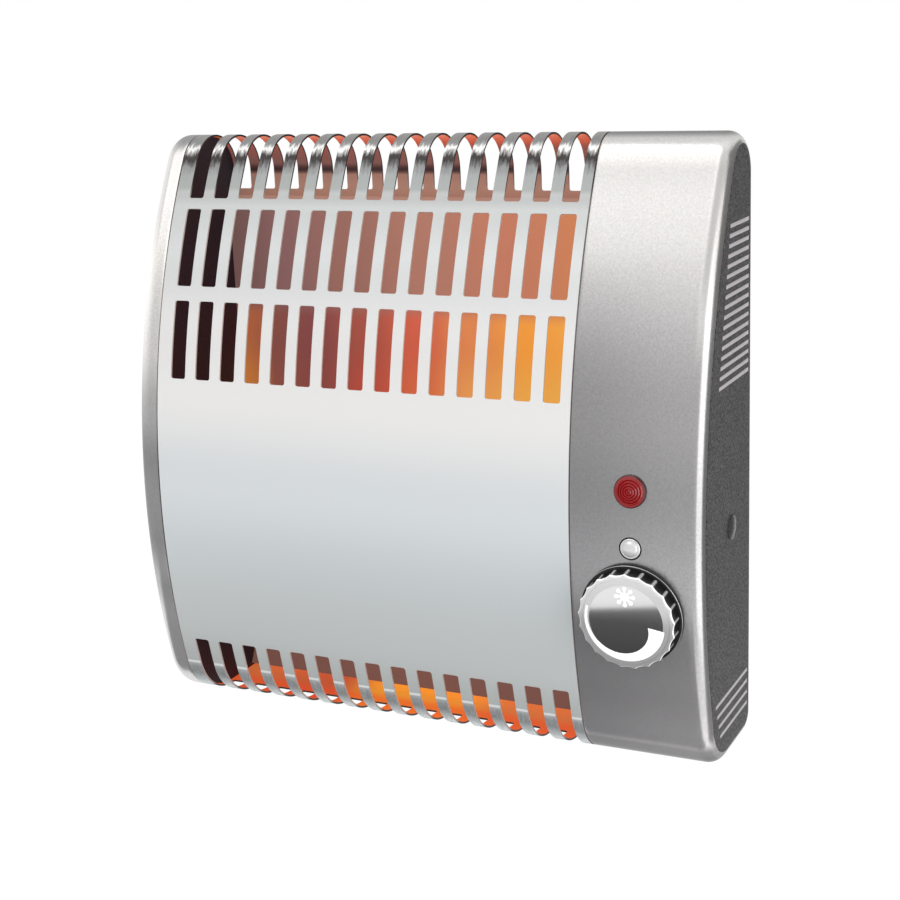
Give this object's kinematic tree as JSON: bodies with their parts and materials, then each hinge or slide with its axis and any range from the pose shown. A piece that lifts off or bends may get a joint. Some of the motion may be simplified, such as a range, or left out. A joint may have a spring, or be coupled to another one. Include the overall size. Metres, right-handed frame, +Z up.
{
  "type": "wall convector heater",
  "caption": "Small wall-hung convector heater: slotted wrap-round steel grille between a slim end cap and a control housing with a thermostat knob and a red lamp.",
  "frame": {"origin": "middle of the flat back face that lies on the wall: half the width and half the height of the casing", "axes": "+X towards the control housing, which is on the right seen from the front; +Y into the wall, so the front faces -Y; +Z up"},
  "size_m": [0.3073, 0.0925, 0.3015],
  "materials": {
    "sleeve_paint": "satin stoved paint on sheet steel",
    "end_moulding": "fine-grained heat-resistant moulding",
    "dark_steel": "dark, heat-stained",
    "bare_sheet": "bare aluminised sheet, browned by heat",
    "plated_steel": "bright zinc plate",
    "element_sheath": "dark oxidised sheath",
    "fin_sheet": "dull",
    "ceramic": "unglazed ceramic",
    "brass": "dull",
    "bakelite": "moulded phenolic",
    "white_nylon": "nylon",
    "copper_tube": "drawn copper",
    "knob_body": "dark grey moulding",
    "knob_face": "bright plated",
    "print_white": "printed",
    "lens_red": "clear red moulding",
    "neon": "neon lamp",
    "stud_grey": "pale grey moulding",
    "dark_rubber": "grommet",
    "plug_grey": "moulded plug",
    "wire_red": "insulated wire"
  },
  "bodies": {
    "casing": {"grille_sleeve": "sleeve_paint", "left_end_cap": "end_moulding", "left_end_plate": "dark_steel", "control_housing": "end_moulding", "partition_plate": "plated_steel", "heat_shield": "bare_sheet", "heating_element": "element_sheath", "element_fins": "fin_sheet", "element_insulators": "ceramic", "element_bracket": "plated_steel", "element_terminals": "brass", "thermal_cutout": "bakelite", "thermostat_body": "bakelite", "bush_nut": "plated_steel", "indicator_lens": "lens_red", "indicator_lamp": "neon", "index_stud": "stud_grey", "terminal_block": "white_nylon", "terminal_screws": "brass", "earth_stud": "brass", "cable_gland": "dark_rubber", "air_sensor": "copper_tube", "sensor_clips": "white_nylon", "side_plug": "plug_grey", "end_screws": "plated_steel", "lead_set": "wire_red"},
    "knob": {"thermostat_knob": "knob_body", "knob_face": "knob_face", "knob_markings": "print_white", "thermostat_spindle": "plated_steel"}
  },
  "joints": [
    {"name": "knob_turn", "type": "hinge", "parent": "casing", "child": "knob", "pos_m": [0.1189, -0.08173, -0.0657], "axis": [0, 0.9965, 0.0839], "range_deg": [0, 264]}
  ]
}
